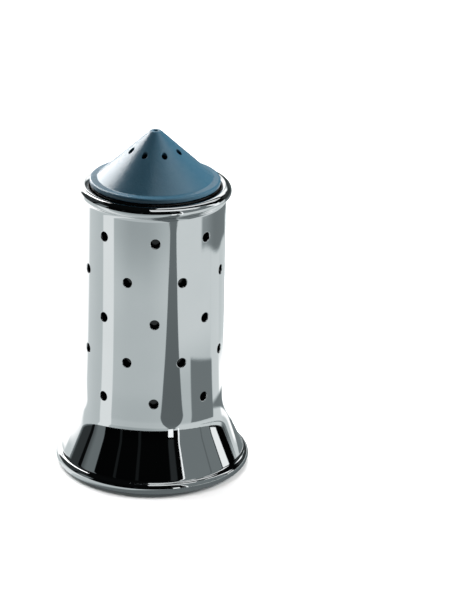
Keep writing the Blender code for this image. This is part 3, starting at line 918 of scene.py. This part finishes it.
def studio_world():
    world = bpy.data.worlds.new("studio")
    bpy.context.scene.world = world
    world.use_nodes = True
    n = Nodes(world.node_tree)
    out = n.add("ShaderNodeOutputWorld")
    bg = n.add("ShaderNodeBackground")
    tc = n.add("ShaderNodeTexCoord")
    sep = n.add("ShaderNodeSeparateXYZ")
    n.link(tc.outputs["Generated"], sep.inputs[0])
    az = n.math('MULTIPLY', n.math('ARCTAN2', sep.outputs[0], n.math('MULTIPLY', sep.outputs[1], -1.0)), 180 / math.pi)
    el = n.math('MULTIPLY', n.math('ARCSINE', sep.outputs[2]), 180 / math.pi)

    def card(base, az0, az1, el0, el1, value, soft=1.0, soft_el=None):
        mask = n.math('MULTIPLY', n.band(az, az0, az1, soft), n.band(el, el0, el1, soft if soft_el is None else soft_el))
        return n.mix(mask, base, value)

    v = n.step(el, 0.0, 80.0, 0.0012, 0.004)
    # lit backdrop behind
    v = card(v, -200.0, -129.0, -4.0, 26.0, 1.5, 2.5)
    v = card(v, 147.0, 200.0, 18.0, 34.0, 1.4, 2.0)
    v = card(v, 176.0, 200.0, -4.0, 19.0, 1.4, 2.0)
    v = card(v, 124.0, 179.0, -4.0, 20.5, n.step(el, -2.0, 13.0, 0.15, 0.06), 2.0)
    v = card(v, 124.0, 156.0, -4.0, 25.0, 0.045, 2.0)
    # low cards on the left
    v = card(v, -142.0, -104.0, 1.5, 46.0, 0.045, 1.5)
    v = card(v, -126.5, -104.0, -4.0, 3.0, n.step(el, 0.0, 2.2, 0.30, 0.045), 1.0)
    v = card(v, -104.0, -98.5, -4.0, 22.0, 0.004, 0.6)
    v = card(v, -98.5, -77.5, -4.0, 30.0, n.step(az, -98.5, -89.0, 0.11, 0.21), 0.6)
    # faint marks in the dark room in front
    v = card(v, -51.0, -47.5, -4.0, 30.0, 0.014, 0.6)
    v = card(v, -22.0, -18.0, -4.0, 30.0, 0.012, 0.8)
    v = card(v, 23.5, 32.0, 18.0, 40.0, 0.03, 1.0)
    # right: grey flat, then a short strip light
    v = card(v, 40.0, 95.5, -4.0, 62.0, 0.24, 0.4, 2.0)
    v = card(v, 77.0, 79.0, -4.0, 36.0, 0.17, 0.5)
    v = card(v, 97.0, 108.5, 2.5, 11.0, 1.2, 0.5)
    n.link(v, bg.inputs["Strength"])
    n.link(cool_tint(n, v), bg.inputs["Color"])
    # soft light comes from the lamps, so the cards add little to dull surfaces
    path = n.add("ShaderNodeLightPath")
    dim = n.add("ShaderNodeBackground")
    dim.inputs["Color"].default_value = (1, 1, 1, 1)
    dim.inputs["Strength"].default_value = 0.09
    soft = n.add("ShaderNodeMixShader")
    n.link(path.outputs["Is Diffuse Ray"], soft.inputs[0])
    n.link(bg.outputs[0], soft.inputs[1])
    n.link(dim.outputs[0], soft.inputs[2])
    # plain pale surround where the camera looks past the floor
    plain = n.add("ShaderNodeBackground")
    plain.inputs["Color"].default_value = (1, 1, 1, 1)
    plain.inputs["Strength"].default_value = 1.0
    pick = n.add("ShaderNodeMixShader")
    n.link(path.outputs["Is Camera Ray"], pick.inputs[0])
    n.link(soft.outputs[0], pick.inputs[1])
    n.link(plain.outputs[0], pick.inputs[2])
    n.link(pick.outputs[0], out.inputs[0])
    world.cycles.sampling_method = 'NONE'


def toward(az, el, dist):
    a, e = math.radians(az), math.radians(el)
    return (dist * math.cos(e) * math.sin(a), -dist * math.cos(e) * math.cos(a), dist * math.sin(e) + 0.09)


def reflector(name, corners, strength, only=None):
    """Small pale card near the object that only reflections show."""
    mesh = bpy.data.meshes.new(name)
    mesh.from_pydata(corners, [], [(0, 1, 2, 3)])
    obj = bpy.data.objects.new(name, mesh)
    bpy.context.scene.collection.objects.link(obj)
    mat = bpy.data.materials.new(name)
    mat.use_nodes = True
    n = Nodes(mat.node_tree)
    out = n.add("ShaderNodeOutputMaterial")
    em = n.add("ShaderNodeEmission")
    em.inputs["Color"].default_value = (0.96, 0.99, 1.0, 1.0)
    geo = n.add("ShaderNodeNewGeometry")
    n.link(n.step(n.noise(geo.outputs["Position"], 14.0, 2.0), 0.2, 0.8, 0.9 * strength, 1.1 * strength), em.inputs["Strength"])
    n.link(em.outputs[0], out.inputs[0])
    mesh.materials.append(mat)
    obj.visible_camera = obj.visible_diffuse = obj.visible_shadow = obj.visible_transmission = False
    if only is not None:
        seen = bpy.data.collections.new(name + "_seen")
        for piece in only:
            seen.objects.link(piece)
        obj.light_linking.receiver_collection = seen


def post(az0, az1, dist, z0, z1, az2=None, az3=None, dist2=None):
    """Corners of an upright card at a distance, between two directions round the axis."""
    def at(a, d, z):
        return (d * math.sin(math.radians(a)), -d * math.cos(math.radians(a)), z)
    d2 = dist if dist2 is None else dist2
    return [at(az0, dist, z0), at(az1, dist, z0), at(az1 if az3 is None else az3, d2, z1), at(az0 if az2 is None else az2, d2, z1)]


def softbox(name, place, aim, size, power, glossy=False, only=None, along=None, own_shadow=False):
    data = bpy.data.lights.new(name, 'AREA')
    data.shape = 'RECTANGLE'
    data.size, data.size_y = size
    data.energy = power
    obj = bpy.data.objects.new(name, data)
    bpy.context.scene.collection.objects.link(obj)
    back = (Vector(place) - Vector(aim)).normalized()
    if along is None:
        rot = (-back).to_track_quat('-Z', 'Y').to_matrix()
    else:                                   # the long side follows the given direction
        xa = Vector(along)
        xa = (xa - back * xa.dot(back)).normalized()
        rot = Matrix((xa, back.cross(xa), back)).transposed()
    obj.matrix_world = Matrix.Translation(place) @ rot.to_4x4()
    obj.visible_glossy = glossy
    obj.visible_camera = False
    if only is not None:
        lit = bpy.data.collections.new(name + "_lit")
        for piece in only:
            lit.objects.link(piece)
        obj.light_linking.receiver_collection = lit
        if own_shadow:
            obj.light_linking.blocker_collection = lit
    return obj


def camera():
    focal = 3261.68
    pitch, yaw, roll = math.radians(21.8185), math.radians(1.3461), math.radians(1.1261)
    fwd = Vector((math.sin(yaw) * math.cos(pitch), math.cos(yaw) * math.cos(pitch), -math.sin(pitch)))
    right = Vector((math.cos(yaw), -math.sin(yaw), 0.0))
    up = right.cross(fwd)
    x = right * math.cos(roll) + up * math.sin(roll)
    y = up * math.cos(roll) - right * math.sin(roll)
    m = Matrix.Identity(4)
    for i in range(3):
        m[i][0], m[i][1], m[i][2] = x[i], y[i], -fwd[i]
    m[0][3], m[1][3], m[2][3] = 0.0, -0.96486, 0.43919 + LIFT * MM
    turn = Matrix.Rotation(math.radians(-0.814), 4, 'Z')
    data = bpy.data.cameras.new("camera")
    data.sensor_width = 36.0
    data.sensor_fit = 'AUTO'
    data.lens = focal * 36.0 / 600.0
    data.clip_start, data.clip_end = 0.01, 100.0
    obj = bpy.data.objects.new("camera", data)
    bpy.context.scene.collection.objects.link(obj)
    obj.matrix_world = turn @ m
    bpy.context.scene.camera = obj


ground = floor()
reflected_table()
studio_world()
cap_piece = pieces[2][0]
softbox("floor_softbox", toward(-150.0, 58.0, 1.9), (0, 0, 0), (2.2, 1.9), 95.0, only=[ground])
softbox("right_softbox", toward(103.0, 26.0, 1.4), (0, 0, 0.1), (0.8, 0.8), 25.0, only=[cap_piece, ground])
softbox("sheen_softbox", toward(84.0, 54.0, 1.4), (0, 0, 0.1), (0.95, 0.42), 1.7, glossy=True, only=[cap_piece],
        along=Vector(toward(105.0, 40.0, 1.4)) - Vector(toward(62.0, 65.0, 1.4)))
softbox("key_softbox", toward(-151.0, 36.0, 1.4), (0, 0, 0.1), (0.36, 0.60), 2.0, glossy=True)
low_end, high_end = Vector(toward(-160.0, 1.5, 1.4)), Vector(toward(-117.0, 40.0, 1.4))
softbox("rim_softbox", toward(-132.2, 29.8, 1.4), (0, 0, 0.1), (0.82, 0.45), 11.2, glossy=True, only=[cap_piece],
        along=high_end - low_end)
softbox("fill_softbox", toward(-150.0, 3.0, 1.4), (0, 0, 0.1), (0.6, 0.30), 6.0, glossy=True, only=[cap_piece],
        along=high_end - low_end)
softbox("edge_softbox", toward(-155.0, 44.0, 1.4), (0, 0, 0.1), (0.6, 0.3), 4.5, glossy=True, only=[cap_piece],
        along=Vector(toward(-136.0, 49.0, 1.4)) - Vector(toward(-172.0, 35.0, 1.4)))
under = [p[0] for p in pieces if p[3] in ("base_plastic", "foot_rubber", "screw_steel")]
softbox("under_softbox", (0.45, -0.5, -0.9), (0, 0, 0), (0.7, 0.7), 14.0, glossy=True, only=under, own_shadow=True)
reflector("card_above", [(-0.011, -0.086, 0.183), (0.140, -0.068, 0.183), (0.120, -0.031, 0.183), (-0.009, -0.031, 0.183)], 1.15)
reflector("card_behind", [(0.001, -0.002, 0.183), (0.122, 0.044, 0.183), (0.128, 0.092, 0.183), (0.004, 0.056, 0.183)], 0.95, only=[pieces[0][0]])
reflector("card_right", post(93.0, 104.0, 0.165, 0.060, 0.150, 78.0, 87.0, 0.122), 1.3)
reflector("card_front", post(22.5, 30.0, 0.272, 0.006, 0.082), 1.4)
reflector("card_edge", post(37.3, 39.3, 0.270, 0.0, 0.25), 1.4)
camera()

scene = bpy.context.scene
scene.view_settings.view_transform = 'Standard'
scene.view_settings.look = 'None'
scene.view_settings.exposure = 0.0
scene.view_settings.gamma = 1.0
